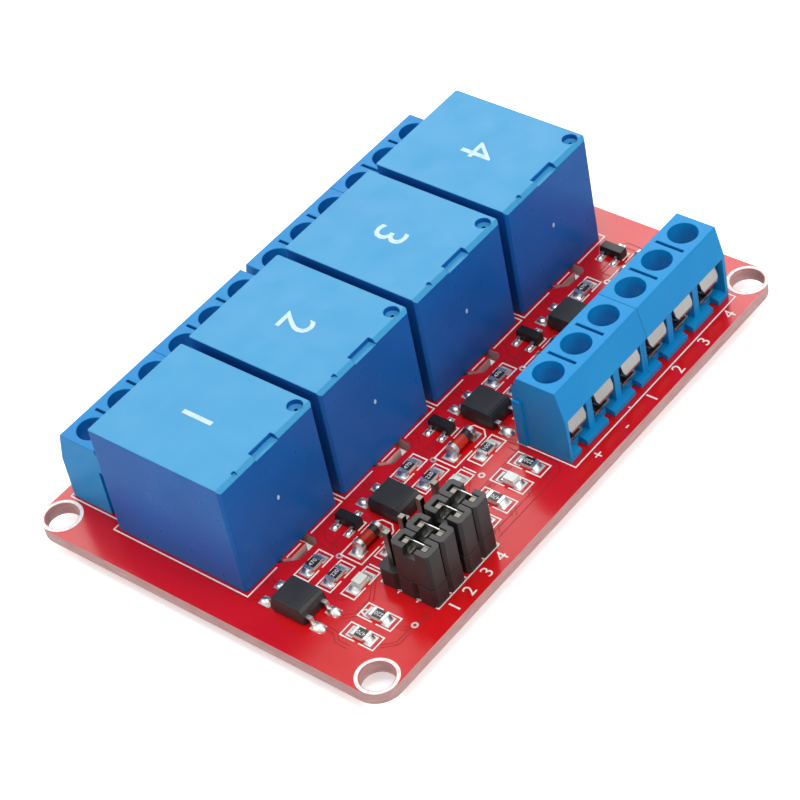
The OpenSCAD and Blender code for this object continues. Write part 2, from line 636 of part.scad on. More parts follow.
circuit_board();
relay_cover_1();
relay_cover_2();
relay_cover_3();
relay_cover_4();
relay_bases();
relay_bobbins();
relay_windings();
relay_cores();
relay_yokes();
relay_pins();
relay_armature_1();
relay_armature_2();
relay_armature_3();
relay_armature_4();
output_terminal_1();
output_terminal_2();
output_terminal_3();
output_terminal_4();
input_terminal_1();
input_terminal_2();
terminal_frames();
wire_guards();
terminal_screw_01();
terminal_screw_02();
terminal_screw_03();
terminal_screw_04();
terminal_screw_05();
terminal_screw_06();
terminal_screw_07();
terminal_screw_08();
terminal_screw_09();
terminal_screw_10();
terminal_screw_11();
terminal_screw_12();
terminal_screw_13();
terminal_screw_14();
terminal_screw_15();
terminal_screw_16();
terminal_screw_17();
terminal_screw_18();
optocouplers();
optocoupler_leads();
transistors();
transistor_leads();
diodes();
diode_caps();
chip_resistors();
leds();
pin_headers();
header_pins();
jumper_cap_1();
jumper_cap_2();
jumper_cap_3();
jumper_cap_4();
jumper_clip_1();
jumper_clip_2();
jumper_clip_3();
jumper_clip_4();
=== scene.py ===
import math

import bpy
from mathutils import Matrix, Vector


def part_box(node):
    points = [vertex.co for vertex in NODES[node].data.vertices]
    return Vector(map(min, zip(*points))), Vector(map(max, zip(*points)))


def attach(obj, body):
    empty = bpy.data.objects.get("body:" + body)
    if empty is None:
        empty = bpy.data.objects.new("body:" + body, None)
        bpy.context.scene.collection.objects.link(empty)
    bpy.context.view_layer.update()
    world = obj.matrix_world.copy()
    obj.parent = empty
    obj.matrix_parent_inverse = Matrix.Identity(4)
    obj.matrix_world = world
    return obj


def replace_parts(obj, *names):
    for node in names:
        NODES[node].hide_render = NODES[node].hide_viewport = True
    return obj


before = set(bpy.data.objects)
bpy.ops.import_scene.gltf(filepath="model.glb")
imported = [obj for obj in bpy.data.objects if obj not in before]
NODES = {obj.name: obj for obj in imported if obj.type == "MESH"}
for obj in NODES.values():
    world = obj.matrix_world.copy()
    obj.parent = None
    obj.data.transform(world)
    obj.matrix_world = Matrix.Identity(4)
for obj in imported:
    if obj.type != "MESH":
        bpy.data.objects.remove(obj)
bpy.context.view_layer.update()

MM = 0.001
BODY = "module"


# ---------------------------------------------------------------- camera
def make_camera():
    """The camera of the photograph."""
    cam = bpy.data.cameras.new("camera")
    cam.sensor_width = 36.0
    cam.sensor_fit = "HORIZONTAL"
    cam.lens = 125.86
    cam.clip_start, cam.clip_end = 0.01, 20
    ob = bpy.data.objects.new("camera", cam)
    right = Vector((0.61323389, -0.77399305, -0.15773065))
    up = Vector((0.61115196, 0.33839903, 0.71552735))
    back = Vector((-0.50043729, -0.53518301, 0.68054512))
    at = Vector((-0.157255, -0.166434, 0.215653))
    ob.matrix_world = Matrix((
        (right.x, up.x, back.x, at.x), (right.y, up.y, back.y, at.y),
        (right.z, up.z, back.z, at.z), (0, 0, 0, 1)))
    bpy.context.scene.collection.objects.link(ob)
    bpy.context.scene.camera = ob


make_camera()


# ---------------------------------------------------------------- materials
def lin(r, g, b):
    """An sRGB colour written 0-255, as linear RGBA."""
    def one(c):
        c /= 255
        return c / 12.92 if c <= 0.04045 else ((c + 0.055) / 1.055) ** 2.4
    return (one(r), one(g), one(b), 1)


class Mat:
    """A procedural material: a Principled shader with the nodes that feed it."""

    def __init__(self, name, colour, rough=0.5, **sockets):
        self.m = bpy.data.materials.new(name)
        self.m.use_nodes = True
        self.t = self.m.node_tree
        self.p = self.t.nodes["Principled BSDF"]
        self.p.inputs["Base Color"].default_value = colour
        self.p.inputs["Roughness"].default_value = rough
        for k, v in sockets.items():
            self.p.inputs[k.replace("_", " ")].default_value = v
        self.colour, self.rough = colour, rough
        self.normal = None
        self.m.diffuse_color = colour

    def node(self, kind, **props):
        n = self.t.nodes.new(kind)
        for k, v in props.items():
            setattr(n, k, v)
        return n

    def link(self, a, b):
        self.t.links.new(a, b)

    def coords(self, scale=(1, 1, 1)):
        c = self.node("ShaderNodeTexCoord")
        m = self.node("ShaderNodeMapping")
        m.inputs["Scale"].default_value = scale
        self.link(c.outputs["Object"], m.inputs["Vector"])
        return m.outputs["Vector"]

    def noise(self, scale, detail=3, rough=0.5, stretch=(1, 1, 1)):
        n = self.node("ShaderNodeTexNoise")
        n.inputs["Scale"].default_value = scale
        n.inputs["Detail"].default_value = detail
        n.inputs["Roughness"].default_value = rough
        self.link(self.coords(stretch), n.inputs["Vector"])
        return n.outputs["Fac"]

    def ramp(self, fac, low, high, a=0.3, b=0.7):
        r = self.node("ShaderNodeMapRange")
        r.inputs["From Min"].default_value, r.inputs["From Max"].default_value = a, b
        r.inputs["To Min"].default_value, r.inputs["To Max"].default_value = low, high
        self.link(fac, r.inputs["Value"])
        return r.outputs["Result"]

    def vary_colour(self, fac, other, a=0.3, b=0.7, amount=1.0):
        mix = self.node("ShaderNodeMix", data_type="RGBA")
        mix.inputs["A"].default_value = self.colour
        mix.inputs["B"].default_value = other
        self.link(self.ramp(fac, 0, amount, a, b), mix.inputs["Factor"])
        self.link(mix.outputs["Result"], self.p.inputs["Base Color"])

    def vary_rough(self, fac, spread):
        self.link(self.ramp(fac, self.rough - spread, self.rough + spread),
                  self.p.inputs["Roughness"])

    def bump(self, fac, height_mm, strength=1.0):
        n = self.node("ShaderNodeBump")
        n.inputs["Strength"].default_value = strength
        n.inputs["Distance"].default_value = height_mm * MM
        self.link(fac, n.inputs["Height"])
        if self.normal:
            self.link(self.normal, n.inputs["Normal"])
        self.normal = n.outputs["Normal"]
        self.link(self.normal, self.p.inputs["Normal"])

    def soft_edges(self, radius_mm):
        n = self.node("ShaderNodeBevel", samples=6)
        n.inputs["Radius"].default_value = radius_mm * MM
        self.normal = n.outputs["Normal"]
        self.link(self.normal, self.p.inputs["Normal"])


def darker(colour, share):
    """A linear colour with that share of its light."""
    return tuple(c * share for c in colour[:3]) + (1,)


def plastic(name, colour, rough, grain_mm=0.12, edge=0.15, tint=None, **kw):
    """A moulded plastic with a fine grain, soft edges and slightly uneven colour."""
    m = Mat(name, colour, rough, **kw)
    m.soft_edges(edge)
    m.bump(m.noise(1000 / grain_mm / 4, 2), 0.01, 0.25)
    m.vary_rough(m.noise(350, 3), 0.06)
    m.vary_colour(m.noise(90, 4), tint or darker(colour, 0.86))
    return m


def metal(name, colour, rough, scale=900):
    """A plated or drawn metal with a fine, uneven surface."""
    m = Mat(name, colour, rough, Metallic=1.0)
    m.soft_edges(0.05)
    m.vary_rough(m.noise(scale, 4, 0.6), 0.1)
    m.bump(m.noise(scale * 1.5, 2), 0.008, 0.4)
    m.vary_colour(m.noise(scale / 5, 3), darker(colour, 0.8))
    return m


M = {}


def laminate(key, name, colour, tint, amount):
    """A routed edge of the board: pale, dull and streaked along its layers."""
    edge = Mat(name, colour, 0.7)
    edge.vary_colour(edge.noise(500, 4, 0.6, (1, 1, 6)), tint, amount=amount)
    edge.bump(edge.noise(1500, 3, 0.6, (1, 1, 5)), 0.02, 0.5)
    M[key] = edge.m


def board_materials():
    mask = Mat("solder_mask", lin(212, 14, 22), 0.2, IOR=1.5)
    mask.vary_colour(mask.noise(60, 5, 0.6), lin(184, 6, 14), 0.35, 0.75, 0.45)
    mask.vary_rough(mask.noise(260, 3), 0.05)
    mask.bump(mask.noise(700, 3), 0.006, 0.35)
    M["mask"] = mask.m
    gap = Mat("mask_over_gap", lin(168, 8, 16), 0.5, IOR=1.45)
    gap.vary_colour(gap.noise(150, 4), lin(138, 6, 12))
    gap.bump(gap.noise(900, 3), 0.006, 0.4)
    M["track"] = gap.m
    laminate("edge", "laminate_edge", lin(206, 168, 164), lin(178, 122, 120), 0.7)
    # The slot walls take a paler copy of the edge laminate. This is painted light, standing in for the
    # light that the shaded slot walls don't get.
    laminate("slot_wall_painted_light", "slot_wall_painted_light", lin(252, 214, 206), lin(232, 172, 166), 1.0)
    ink = Mat("white_ink", lin(244, 242, 238), 0.55)
    ink.vary_colour(ink.noise(1800, 3), lin(222, 208, 204), 0.45, 0.8)
    ink.bump(ink.noise(2500, 2), 0.01, 0.5)
    M["ink"] = ink.m


def relay_materials():
    # Sides and tops are one blue plastic. The tops take a lighter copy of the side blue, painted light
    # where the top catches the lamps.
    M["relay"] = plastic("relay_side_blue", lin(20, 102, 182), 0.32, edge=0.2,
                         tint=lin(26, 93, 170), Specular_IOR_Level=0.14).m
    M["relay_top_painted_light"] = plastic("relay_top_blue_painted_light", lin(56, 152, 202), 0.45, 0.2, edge=0.2,
                             tint=lin(54, 148, 199), Specular_IOR_Level=0.35).m
    M["relay_base"] = plastic("relay_base_dark", lin(32, 52, 96), 0.6).m
    M["bobbin"] = plastic("bobbin_ivory", lin(226, 220, 198), 0.5).m
    wire = Mat("copper_wire", lin(196, 112, 62), 0.3, Metallic=1.0)
    turns = wire.node("ShaderNodeTexWave", bands_direction="Z")
    turns.inputs["Scale"].default_value = 2500
    wire.link(wire.coords(), turns.inputs["Vector"])
    wire.bump(turns.outputs["Fac"], 0.05, 0.8)
    M["copper"] = wire.m
    M["iron"] = metal("plated_iron", lin(176, 178, 182), 0.38).m
    M["contact"] = metal("contact_metal", lin(206, 196, 172), 0.32).m
    printed = Mat("relay_print", lin(196, 220, 238), 0.5)
    printed.vary_colour(printed.noise(1600, 2), lin(160, 200, 228), 0.45, 0.8)
    M["relay_ink"] = printed.m


def terminal_materials():
    M["terminal"] = plastic("terminal_blue", lin(3, 132, 204), 0.36, edge=0.14,
                            tint=lin(6, 145, 207), Specular_IOR_Level=0.2).m
    M["plated"] = metal("bright_plate", lin(188, 188, 186), 0.3, 600).m
    M["screw"] = metal("screw_steel", lin(232, 234, 238), 0.45, 500).m


def soldered_metal(key, name, colour, rough, bump_scale, bump_strength, rough_scale, spread):
    """Tin or solder as it froze."""
    tin = Mat(name, colour, rough, Metallic=1.0)
    tin.bump(tin.noise(bump_scale, 3), 0.03, bump_strength)
    tin.vary_rough(tin.noise(rough_scale, 3), spread)
    M[key] = tin.m


def small_part_materials():
    M["tin"] = metal("tinned_lead", lin(214, 214, 212), 0.3, 700).m
    soldered_metal("solder", "solder", lin(214, 214, 210), 0.36, 900, 0.5, 500, 0.08)
    soldered_metal("pad", "tinned_pad", lin(206, 206, 202), 0.5, 1200, 0.6, 700, 0.1)
    pin = Mat("pin_steel", lin(128, 122, 114), 0.3, Metallic=1.0)
    pin.soft_edges(0.06)
    pin.vary_colour(pin.noise(120, 2, 0.5, (1, 1, 0.3)), lin(106, 100, 94))
    M["pin"] = pin.m
    M["resin"] = plastic("moulded_resin", lin(30, 30, 31), 0.45, 0.08, edge=0.08,
                         tint=lin(42, 42, 43)).m
    M["small_resin"] = plastic("transistor_resin", lin(17, 17, 18), 0.45, 0.08, edge=0.06,
                               tint=lin(24, 24, 25), Specular_IOR_Level=0.35).m
    M["nylon"] = plastic("black_nylon", lin(12, 12, 13), 0.45, 0.1, edge=0.1,
                         tint=lin(36, 36, 37)).m
    M["chip"] = plastic("resistor_glaze", lin(36, 35, 36), 0.3, 0.06, edge=0.04).m
    M["ceramic"] = plastic("alumina", lin(226, 224, 216), 0.6, 0.06, edge=0.04).m
    lens = Mat("lamp_resin", lin(250, 251, 248), 0.18, Transmission_Weight=0.15, IOR=1.5)
    lens.vary_colour(lens.noise(700, 2), lin(238, 242, 230))
    M["lens"] = lens.m
    glass = Mat("diode_glass", lin(222, 62, 30), 0.06, Transmission_Weight=0.25, IOR=1.5)
    glass.vary_colour(glass.noise(500, 2), lin(190, 36, 22))
    M["glass"] = glass.m
    band = Mat("band_black", lin(24, 22, 22), 0.3)
    band.vary_colour(band.noise(900, 2), lin(40, 36, 34))
    M["band"] = band.m


board_materials()
relay_materials()
terminal_materials()
small_part_materials()


def paint(node, *keys):
    """Gives a CAD node its materials, first one everywhere."""
    me = NODES[node].data
    me.materials.clear()
    for k in keys:
        me.materials.append(M[k])
    for p in me.polygons:
        p.material_index = 0
    return me


def group(prefix):
    return [n for n in NODES if n.startswith(prefix)]


def dress_nodes():
    slots_x, slots_y0, slots_y1 = 31, -5.3, 0      # the area that holds the milled slots
    me = paint("circuit_board", "mask", "edge", "slot_wall_painted_light")
    # Side faces in the slot area take the paler slot-wall copy of the laminate, which is painted light.
    for p in me.polygons:
        c = p.center / MM
        if abs(p.normal.z) <= 0.5:
            p.material_index = 2 if abs(c.x) < slots_x and slots_y0 < c.y < slots_y1 else 1
    cover_rim = 1.2 * MM                           # a sloping face this near the top is part of it
    for n in group("relay_cover_"):
        me = paint(n, "relay", "relay_top_painted_light")
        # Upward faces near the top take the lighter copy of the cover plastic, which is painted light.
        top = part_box(n)[1].z
        for p in me.polygons:
            p.material_index = 1 if p.normal.z > 0.2 and p.center.z > top - cover_rim else 0
    for n, k in (("relay_bases", "relay_base"), ("relay_bobbins", "bobbin"),
                 ("relay_windings", "copper"), ("relay_cores", "iron"), ("relay_yokes", "iron"),
                 ("relay_pins", "contact"), ("terminal_frames", "plated"), ("wire_guards", "plated"),
                 ("optocouplers", "resin"), ("optocoupler_leads", "tin"), ("transistors", "small_resin"),
                 ("transistor_leads", "tin"), ("diodes", "glass"), ("diode_caps", "tin"),
                 ("pin_headers", "nylon"), ("header_pins", "pin")):
        paint(n, k)
    for prefix, k in (("relay_armature_", "iron"), ("output_terminal_", "terminal"),
                      ("input_terminal_", "terminal"), ("terminal_screw_", "screw"),
                      ("jumper_cap_", "nylon"), ("jumper_clip_", "tin")):
        for n in group(prefix):
            paint(n, k)


dress_nodes()

# ---------------------------------------------------------------- places, in mm
BOARD_LO, BOARD_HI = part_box("circuit_board")
TOP = BOARD_HI.z / MM
UNDER = BOARD_LO.z / MM
RELAYS = []
for n in sorted(group("relay_cover_")):
    lo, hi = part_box(n)
    RELAYS.append(((lo.x + hi.x) / 2 / MM, (lo.y + hi.y) / 2 / MM))
RELAY_X = [p[0] for p in RELAYS]
RELAY_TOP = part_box("relay_cover_1")[1].z / MM
# where each relay's pins pass the board, from the relay's middle
SIDE_PIN_X = 6
COMMON_PIN_Y, COIL_PIN_Y, CONTACT_PIN_Y = -7.1, -5.1, 7.1
# of each channel's parts, x from the relay's middle and y from the board's
CHIPS = [(-0.9, -6.95), (-0.9, -10.0), (5.65, -12.8)]
LED = (-0.3, -12.95)
OPTO = (-6.15, -9.45)
TRANS = (5.95, -6.36)
DIODE = (4.85, -9.95)
# of the parts along the front edge
LOOSE = [(-30.6, -17.75), (-27.6, -17.7), (-11.1, -18.2), (-8.1, -18.2), (-2.0, -18.15)]
POWER = (-5.0, -18.0)
HOLE_X, HOLE_Y = 34, 22.5
HOLES = [(sx * HOLE_X, sy * HOLE_Y) for sx in (-1, 1) for sy in (-1, 1)]
PIN_HALF, PITCH = 0.32, 2.54
CAPS = [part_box("jumper_cap_%d" % i) for i in (1, 2, 3, 4)]
HEAD_X = [(b[0].x + b[1].x) / 2 / MM for b in CAPS]
HEAD_Y = [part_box("header_pins")[0].y / MM + PIN_HALF + PITCH * k for k in range(3)]
FIRST_INPUT, INPUTS = 13, 6     # the screws after the outputs' twelve
# how far each thin layer lies off the board
TRACK_LIFT, PAD_LIFT, VIA_LIFT, PRINT_LIFT = 0.012, 0.022, 0.024, 0.03
LAYER_STEP = 0.00002            # keeps tracks that cross apart
PAD_Z = TOP + PAD_LIFT
PRINT_Z = TOP + PRINT_LIFT
PRINT_W = 0.17                  # width of a printed line
BOX_LONG, BOX_WIDE, BOX_GAP = 2.2, 0.98, 0.5    # half sizes of a chip's printed box, and its break
MARK_LIFT = 0.004               # how far a mark lies off its relay


def middle(node):
    """A node's middle in plan."""
    lo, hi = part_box(node)
    return (lo.x + hi.x) / 2 / MM, (lo.y + hi.y) / 2 / MM


def chip_places():
    """(x, y, turned) of every chip resistor."""
    return [(x + a, b, False) for x in RELAY_X for a, b in CHIPS] + [(a, b, True) for a, b in LOOSE]


LAMPS = [(x + LED[0], LED[1], False) for x in RELAY_X] + [(POWER[0], POWER[1], True)]


def along(centre, places):
    """How far a face lies from the middle of its own chip, along the chip."""
    x, y, turned = min(places, key=lambda q: (q[0] - centre.x) ** 2 + (q[1] - centre.y) ** 2)
    return abs(centre.y - y) if turned else abs(centre.x - x)


def dress_chips():
    chip_end, lamp_end, lamp_base = 0.61, 0.72, 0.36
    places = chip_places()
    me = paint("chip_resistors", "ceramic", "chip", "tin")
    for p in me.polygons:
        if along(p.center / MM, places) > chip_end:
            p.material_index = 2
        elif p.normal.z > 0.5:
            p.material_index = 1
    me = paint("leds", "ceramic", "lens", "tin")
    for p in me.polygons:
        c = p.center / MM
        u = along(c, LAMPS)
        if c.z > TOP + lamp_base and u < lamp_end:
            p.material_index = 1
        elif u > lamp_end:
            p.material_index = 2


dress_chips()


# ---------------------------------------------------------------- mesh tools, all in mm
class Piece:
    """One scene piece of one material, built from many small faces."""

    def __init__(self, name, key, slot, smooth=False):
        self.name, self.key, self.slot, self.smooth = name, key, slot, smooth
        self.v, self.f = [], []

    def add(self, verts, faces):
        o = len(self.v)
        self.v += [tuple(c * MM for c in p) for p in verts]
        self.f += [tuple(i + o for i in f) for f in faces]

    def rect(self, x0, x1, y0, y1, z):
        self.add([(x0, y0, z), (x1, y0, z), (x1, y1, z), (x0, y1, z)], [(0, 1, 2, 3)])

    def path(self, pts, w, z, closed=False, cap=0):
        """A line of width w through pts, with mitred corners; cap lengthens both ends."""
        pts = [Vector(p) for p in pts]
        n = len(pts)
        left, right = [], []
        for i, p in enumerate(pts):
            a = pts[(i - 1) % n] if closed or i else None
            b = pts[(i + 1) % n] if closed or i < n - 1 else None
            da = (p - a).normalized() if a is not None else None
            db = (b - p).normalized() if b is not None else None
            if da is None:
                d, k = db, 1
                p = p - db * cap
            elif db is None:
                d, k = da, 1
                p = p + da * cap
            else:
                d = (da + db).normalized()
                k = 1 / max(0.5, math.sqrt(max(0.0, (1 + da.dot(db)) / 2)))
            s = Vector((-d.y, d.x)) * w / 2 * k
            left.append(p + s)
            right.append(p - s)
        vs = [(q.x, q.y, z) for q in right] + [(q.x, q.y, z) for q in left]
        m = n if closed else n - 1
        self.add(vs, [(i, (i + 1) % n, n + (i + 1) % n, n + i) for i in range(m)])

    def ring(self, x, y, r0, r1, z, n=48, flip=False):
        vs = []
        for r in (r0, r1):
            for i in range(n):
                a = math.radians(360 * i / n)
                vs.append((x + r * math.cos(a), y + r * math.sin(a), z))
        fs = [(i, n + i, n + (i + 1) % n, (i + 1) % n) for i in range(n)]
        self.add(vs, [tuple(reversed(f)) for f in fs] if flip else fs)

    def lathe(self, x, y, prof, n=20, sx=1.0, sy=1.0):
        """prof is (radius, z) from the bottom up; a zero radius at its end closes the top."""
        vs, fs = [], []
        rings = []
        for r, z in prof:
            if r < 1e-6:
                rings.append([len(vs)])
                vs.append((x, y, z))
            else:
                rings.append(list(range(len(vs), len(vs) + n)))
                vs += [(x + r * sx * math.cos(2 * math.pi * i / n),
                        y + r * sy * math.sin(2 * math.pi * i / n), z) for i in range(n)]
        for a, b in zip(rings, rings[1:]):
            for i in range(n):
                j = (i + 1) % n
                if len(b) == 1:
                    fs.append((a[i], a[j], b[0]))
                else:
                    fs.append((a[i], a[j], b[j], b[i]))
        self.add(vs, fs)

    def build(self):
        me = bpy.data.meshes.new(self.name)
        me.from_pydata(self.v, [], self.f)
        me.materials.append(M[self.key])
        for p in me.polygons:
            p.use_smooth = self.smooth
        me.update()
        ob = bpy.data.objects.new(self.name, me)
        bpy.context.scene.collection.objects.link(ob)
        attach(ob, BODY)
        return ob


def dashed_box(pc, x0, x1, y0, y1, w, z, gap_x=0.0, gap_y=0.0):
    """A printed box, open in the middle of its long sides (gap_x) or of its ends (gap_y)."""
    xm, ym = (x0 + x1) / 2, (y0 + y1) / 2
    if gap_x:
        for s, xe in ((-1, x0), (1, x1)):
            start = xm + s * gap_x / 2
            pc.path([(start, y0), (xe, y0), (xe, y1), (start, y1)], w, z)
    else:
        for s, ye in ((-1, y0), (1, y1)):
            start = ym + s * gap_y / 2
            pc.path([(x0, start), (x0, ye), (x1, ye), (x1, start)], w, z)


def letters(pc, text, x, y, size, z, turn=0.0):
    """Plain figures and signs, laid flat. size is their height."""
    cu = bpy.data.curves.new("t", "FONT")
    cu.body = text
    cu.align_x, cu.align_y = "CENTER", "CENTER"
    cu.resolution_u = 3
    ob = bpy.data.objects.new("t", cu)
    bpy.context.scene.collection.objects.link(ob)
    bpy.context.view_layer.update()
    me = ob.evaluated_get(bpy.context.evaluated_depsgraph_get()).to_mesh()
    c, s = math.cos(math.radians(turn)), math.sin(math.radians(turn))
    font_height = 0.7
    k = size / font_height
    vs = []
    for v in me.vertices:
        a, b = v.co.x * k, v.co.y * k
        vs.append((x + a * c - b * s, y + a * s + b * c, z))
    pc.add(vs, [tuple(p.vertices) for p in me.polygons])
    bpy.data.objects.remove(ob)
    bpy.data.curves.remove(cu)


# ---------------------------------------------------------------- white print
def print_relay(pc, xc):
    """The outline round a relay, broken where the milled slot passes."""
    x0, x1, y0, y1 = xc - 7.95, xc + 7.95, -3.65, 15.9
    pc.path([(xc - 3.1, y0), (x0, y0), (x0, y1), (x1, y1), (x1, y0), (xc + 2.6, y0)],
            PRINT_W, PRINT_Z)
    pc.path([(xc - 1.5, y0), (xc + 0.9, y0)], PRINT_W, PRINT_Z)


def print_channel(pc, xc):
    """The outlines of the small parts in front of a relay."""
    for (cx, cy), half in zip(CHIPS, (2.1, 2.1, BOX_LONG)):
        dashed_box(pc, xc + cx - half, xc + cx + half, cy - BOX_WIDE, cy + BOX_WIDE,
                   PRINT_W, PRINT_Z, BOX_GAP)
    # lamp, with a bar beyond one end
    cx, cy = xc + LED[0], LED[1]
    lamp_wide, bar = 0.9, cx + 2.6
    dashed_box(pc, cx - BOX_LONG, cx + BOX_LONG, cy - lamp_wide, cy + lamp_wide,
               PRINT_W, PRINT_Z, BOX_GAP)
    pc.path([(bar, cy - lamp_wide), (bar, cy + lamp_wide)], PRINT_W, PRINT_Z)
    # diode, with its far end cut at the corners
    x0, x1, y0, y1, cut = xc + 1.8, xc + 8.05, -11.4, -8.45, 0.8
    pc.path([(x0 + 3, y0), (x0, y0), (x0, y1), (x0 + 3, y1)], PRINT_W, PRINT_Z)
    pc.path([(x0 + 3.5, y1), (x1 - cut, y1), (x1, y1 - cut), (x1, y0 + cut), (x1 - cut, y0),
             (x0 + 3.5, y0)], PRINT_W, PRINT_Z)
    # transistor, marked at its corners
    tx, ty = xc + TRANS[0], TRANS[1]
    left, right = tx - 0.5, tx + 0.85
    for e in (-1, 1):
        far, near = ty + e * 1.6, ty + e * 1.05
        pc.path([(left, far), (right, far), (right, near)], PRINT_W, PRINT_Z)


def print_header(pc):
    """The frame round the header, with a tick for each row and column of pins."""
    x0, x1, y0, y1, tick = -23.58, -13.2, -22.4, -14.7, 0.45
    pc.path([(x0, y0), (x1, y0), (x1, y1), (x0, y1)], PRINT_W, PRINT_Z, closed=True)
    for x in HEAD_X:
        pc.path([(x + PITCH / 2, y0), (x + PITCH / 2, y0 + tick)], PRINT_W, PRINT_Z)
    for yt in (-19.81, -17.27):
        for side, xe in ((-1, x0), (1, x1)):
            pc.path([(xe, yt), (xe + side * tick, yt)], PRINT_W, PRINT_Z)


def print_terminals(pc):
    """The box round the input blocks, and the lines behind and beside the output blocks."""
    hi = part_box("input_terminal_2")[1] / MM
    xl, xr, front, back, block_join = 0.1, hi.x + 0.25, -22.85, -15, 10.52
    pc.path([(xl, back), (xl, front), (xr, front), (xr, back), (xl, back)], PRINT_W, PRINT_Z)
    pc.path([(block_join, front), (block_join, front + 0.4)], PRINT_W, PRINT_Z)
    lo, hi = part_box("output_terminal_1")[0] / MM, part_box("output_terminal_4")[1] / MM
    end, behind = 0.3, 0.35
    pc.path([(lo.x - end, hi.y + behind), (hi.x + end, hi.y + behind)], PRINT_W, PRINT_Z)
    for x in (lo.x - end, hi.x + end):
        pc.path([(x, lo.y), (x, hi.y + behind)], PRINT_W, PRINT_Z)


def print_labels(pc):
    """Signs and figures in front of the input screws and the header's columns."""
    height = 1.5
    for i, mark in enumerate("+-1234"):
        x = middle("terminal_screw_%02d" % (FIRST_INPUT + i))[0]
        letters(pc, mark, x, -23.95, height, PRINT_Z)
    for i, x in enumerate(HEAD_X):
        letters(pc, str(i + 1), x, -23.7, height, PRINT_Z)


def make_print():
    pc = Piece("board_print", "ink", slot="board_red")
    for x, y in HOLES:
        pc.ring(x, y, 2.02, 2.44, PRINT_Z)
    for xc in RELAY_X:
        print_relay(pc, xc)
        print_channel(pc, xc)
    for x, y in LOOSE + [POWER]:
        dashed_box(pc, x - BOX_WIDE, x + BOX_WIDE, y - BOX_LONG, y + BOX_LONG,
                   PRINT_W, PRINT_Z, gap_y=BOX_GAP)
    print_header(pc)
    print_terminals(pc)
    print_labels(pc)
    pc.build()


make_print()


# ---------------------------------------------------------------- copper under the mask
def beside(pts, d):
    """The line through pts, moved sideways by d."""
    pts = [Vector(p) for p in pts]
    out = []
    for i, p in enumerate(pts):
        da = (p - pts[i - 1]).normalized() if i else None
        db = (pts[i + 1] - p).normalized() if i < len(pts) - 1 else None
        if da is None or db is None:
            t, k = da or db, 1
        else:
            t = (da + db).normalized()
            k = 1 / max(0.5, math.sqrt(max(0.0, (1 + da.dot(db)) / 2)))
        out.append(p + Vector((-t.y, t.x)) * d * k)
    return out


class Tracks:
    """A piece of tracks, each a little further from the board than the one before."""

    def __init__(self, name, z, step):
        self.pc = Piece(name, "track", slot="board_red")
        self.z, self.step = z, step

    def edges(self, pts, w):
        """The two thin lines where the mask dips beside a track of width w."""
        self.z += self.step
        for side in (-1, 1):
            self.pc.path(beside(pts, side * w / 2), 0.1, self.z)

    def strip(self, pts, w):
        """A whole track on the underside, with its faces turned down."""
        self.z += self.step
        first = len(self.pc.f)
        self.pc.path(pts, w, self.z, cap=w / 2)
        self.pc.f[first:] = [tuple(reversed(f)) for f in self.pc.f[first:]]


# of each channel's tracks, the points (x from the relay's middle, y from the board's) and the width
CHANNEL_TRACKS = (
    ([(-5.1, -5.5), (-5.1, -4.4), (-4.2, -3.5), (-4.2, -1)], 0.6),
    ([(-7.4, -5.5), (-7.4, -4.6), (-7.9, -4.1), (-7.9, -1)], 0.6),
    ([(-4.9, -13.2), (-4.9, -14.4), (-3.9, -15.4), (-1.5, -15.4), (0.8, -13.9), (0.8, -13.2)], 0.45),
    ([(-7.0, -13.2), (-7.0, -15.0), (-7.9, -15.9), (-7.9, -17.5)], 0.45),
    ([(-1.9, -6.95), (-3.1, -6.95), (-3.1, -10.0), (-1.9, -10.0)], 0.45),
    ([(0.1, -6.95), (2.4, -6.95), (4.5, -6.95)], 0.45),
    ([(0.1, -10.0), (1.6, -10.0)], 0.7),
    ([(2.9, -9.95), (2.2, -9.2), (2.2, -5.6), (3.4, -4.4), (3.4, -1)], 0.8),
    ([(7.2, -6.2), (7.9, -6.9), (7.9, -9.0), (7.2, -9.95)], 0.8),
    ([(4.6, -12.8), (3.0, -12.8), (2.4, -12.2), (2.4, -11.6)], 0.45),
    ([(6.7, -12.8), (8.1, -12.8), (8.1, -15.6), (7.4, -16.3)], 0.45),
    ([(-1.2, -12.95), (-2.6, -12.95), (-3.0, -12.5), (-3.0, -11.0)], 0.45),
)


def make_top_tracks():
    top = Tracks("copper_tracks", TOP + TRACK_LIFT, LAYER_STEP)
    for xc in RELAY_X:
        for pts, w in CHANNEL_TRACKS:
            top.edges([(xc + a, b) for a, b in pts], w)
    for k in range(2):
        y = -16.5 + 0.62 * k
        top.edges([(-12.5, y), (-0.5, y)], 0.34)
    for i, (x, _) in enumerate(LOOSE[:2]):
        y = -21.6 - i * 0.5
        top.edges([(x, -18.7), (x, -20.4 - i * 0.5), (x + 1.2, y), (-24.4, y)], 0.42)
    for i, x in enumerate(sorted(p[0] for p in LOOSE[2:] + [POWER])):
        top.edges([(x, -17.1), (x, -15.8 + 0.1 * i)], 0.5)
        top.edges([(x, -19.2), (x, -20.5), (x - 0.8, -21.3)], 0.5)
    top.edges([(-12.2, -21.3), (-1.4, -21.3), (-0.6, -20.5), (-0.6, -14.5)], 0.9)
    top.pc.build()


